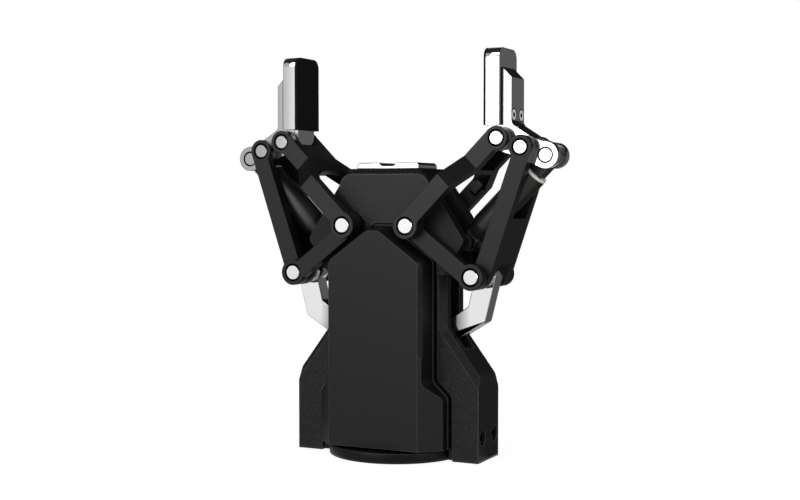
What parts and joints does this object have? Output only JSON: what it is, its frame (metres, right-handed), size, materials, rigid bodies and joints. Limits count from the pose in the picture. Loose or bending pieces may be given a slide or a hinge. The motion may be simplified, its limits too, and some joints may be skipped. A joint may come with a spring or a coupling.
{
  "type": "electric two finger gripper",
  "caption": "Electric two finger gripper on a round flange: forked link arms and spring struts carry flat parallel fingertips with rubber pads, drawn together by a motor and screw.",
  "frame": {"origin": "centre of the flange's bottom face, where it meets the robot's wrist", "axes": "+Z from the flange towards the fingertips, X along the jaws' travel, -Y towards the front cover"},
  "size_m": [0.1624, 0.067, 0.1846],
  "materials": {
    "flange_black": "satin black coating",
    "body_black": "fine grained black coating",
    "cover_black": "smooth satin black",
    "link_black": "satin black",
    "bright_aluminium": "machined, finely brushed",
    "pin_steel": "turned bright ends",
    "screw_steel": "dark socket screws",
    "motor_steel": "plain can",
    "bearing_steel": "ground",
    "nut_brass": "machined",
    "board_green": "coated board",
    "socket_metal": "plated",
    "pad_rubber": "matt",
    "barrel_gloss": "glossy black",
    "ring_brass": "pale"
  },
  "bodies": {
    "body": {"base_flange": "flange_black", "main_housing": "body_black", "upper_frame": "body_black", "front_lower_cover": "cover_black", "rear_lower_cover": "cover_black", "front_upper_cover": "cover_black", "rear_upper_cover": "cover_black", "side_screws": "screw_steel", "palm_plate": "bright_aluminium", "motor": "motor_steel", "lower_bearing": "bearing_steel", "upper_bearing": "bearing_steel", "control_board": "board_green", "cable_socket": "socket_metal", "right_frame_pin": "pin_steel", "right_strut_pin": "pin_steel", "left_frame_pin": "pin_steel", "left_strut_pin": "pin_steel"},
    "screw": {"drive_screw": "screw_steel"},
    "nut": {"drive_nut": "nut_brass"},
    "right_link": {"right_finger_link": "link_black"},
    "right_finger": {"right_finger_bracket": "bright_aluminium", "right_fingertip": "bright_aluminium", "right_rubber_pad": "pad_rubber", "right_tip_screws": "pin_steel", "right_outer_pin": "pin_steel", "right_finger_pin": "pin_steel", "right_ear_pin": "pin_steel"},
    "right_lever": {"right_front_lever": "link_black", "right_rear_lever": "link_black", "right_lever_pin": "pin_steel", "right_lever_spacers": "bearing_steel"},
    "right_outer": {"right_outer_link": "link_black"},
    "right_strut": {"right_strut_barrel": "barrel_gloss", "right_strut_ring": "ring_brass", "right_strut_rod": "link_black", "right_strut_spring": "screw_steel"},
    "right_rod": {"right_drive_rod": "bright_aluminium", "right_nut_pin": "pin_steel"},
    "left_link": {"left_finger_link": "link_black"},
    "left_finger": {"left_finger_bracket": "bright_aluminium", "left_fingertip": "bright_aluminium", "left_rubber_pad": "pad_rubber", "left_tip_screws": "pin_steel", "left_outer_pin": "pin_steel", "left_finger_pin": "pin_steel", "left_ear_pin": "pin_steel"},
    "left_lever": {"left_front_lever": "link_black", "left_rear_lever": "link_black", "left_lever_pin": "pin_steel", "left_lever_spacers": "bearing_steel"},
    "left_outer": {"left_outer_link": "link_black"},
    "left_strut": {"left_strut_barrel": "barrel_gloss", "left_strut_ring": "ring_brass", "left_strut_rod": "link_black", "left_strut_spring": "screw_steel"},
    "left_rod": {"left_drive_rod": "bright_aluminium", "left_nut_pin": "pin_steel"}
  },
  "joints": [
    {"name": "screw_turn", "type": "hinge", "parent": "body", "child": "screw", "pos_m": [0, 0, 0.041], "axis": [0, 0, -1], "range_deg": [0, 1115.4]},
    {"name": "nut_lift", "type": "slide", "parent": "body", "child": "nut", "axis": [0, 0, 1], "range_m": [0, 0.031]},
    {"name": "right_close", "type": "hinge", "parent": "body", "child": "right_link", "pos_m": [0.0159, 0, 0.1059], "axis": [0, -1, 0], "range_deg": [0, 54]},
    {"name": "right_finger_level", "type": "hinge", "parent": "right_link", "child": "right_finger", "pos_m": [0.0545, 0, 0.1446], "axis": [0, -1, 0], "range_deg": [-54, 0]},
    {"name": "right_outer_swing", "type": "hinge", "parent": "right_finger", "child": "right_outer", "pos_m": [0.0657, 0, 0.1405], "axis": [0, -1, 0], "range_deg": [0, 53.6]},
    {"name": "right_strut_swing", "type": "hinge", "parent": "body", "child": "right_strut", "pos_m": [0.03675, 0, 0.0983], "axis": [0, -1, 0], "range_deg": [0, 54]},
    {"name": "right_lever_swing", "type": "hinge", "parent": "body", "child": "right_lever", "pos_m": [0.0159, 0, 0.1059], "axis": [0, -1, 0], "range_deg": [0, 36.7]},
    {"name": "right_rod_swing", "type": "hinge", "parent": "right_lever", "child": "right_rod", "pos_m": [0.045, 0, 0.0835], "axis": [0, -1, 0], "range_deg": [-53, 0]},
    {"name": "left_close", "type": "hinge", "parent": "body", "child": "left_link", "pos_m": [-0.0159, 0, 0.1059], "axis": [0, 1, 0], "range_deg": [0, 54]},
    {"name": "left_finger_level", "type": "hinge", "parent": "left_link", "child": "left_finger", "pos_m": [-0.0545, 0, 0.1446], "axis": [0, 1, 0], "range_deg": [-54, 0]},
    {"name": "left_outer_swing", "type": "hinge", "parent": "left_finger", "child": "left_outer", "pos_m": [-0.0657, 0, 0.1405], "axis": [0, 1, 0], "range_deg": [0, 53.6]},
    {"name": "left_strut_swing", "type": "hinge", "parent": "body", "child": "left_strut", "pos_m": [-0.03675, 0, 0.0983], "axis": [0, 1, 0], "range_deg": [0, 54]},
    {"name": "left_lever_swing", "type": "hinge", "parent": "body", "child": "left_lever", "pos_m": [-0.0159, 0, 0.1059], "axis": [0, 1, 0], "range_deg": [0, 36.7]},
    {"name": "left_rod_swing", "type": "hinge", "parent": "left_lever", "child": "left_rod", "pos_m": [-0.045, 0, 0.0835], "axis": [0, 1, 0], "range_deg": [-53, 0]}
  ],
  "couplings": [
    {"joint": "screw_turn", "follows": "right_close", "ratio": 20.647},
    {"joint": "nut_lift", "follows": "right_close", "m_per_rad": 0.03286},
    {"joint": "right_finger_level", "follows": "right_close", "ratio": -1},
    {"joint": "right_outer_swing", "follows": "right_close", "ratio": 0.9916},
    {"joint": "right_strut_swing", "follows": "right_close", "ratio": 1},
    {"joint": "right_lever_swing", "follows": "right_close", "ratio": 0.678},
    {"joint": "right_rod_swing", "follows": "right_close", "ratio": -0.9805},
    {"joint": "left_close", "follows": "right_close", "ratio": 1},
    {"joint": "left_finger_level", "follows": "right_close", "ratio": -1},
    {"joint": "left_outer_swing", "follows": "right_close", "ratio": 0.9916},
    {"joint": "left_strut_swing", "follows": "right_close", "ratio": 1},
    {"joint": "left_lever_swing", "follows": "right_close", "ratio": 0.678},
    {"joint": "left_rod_swing", "follows": "right_close", "ratio": -0.9805}
  ]
}
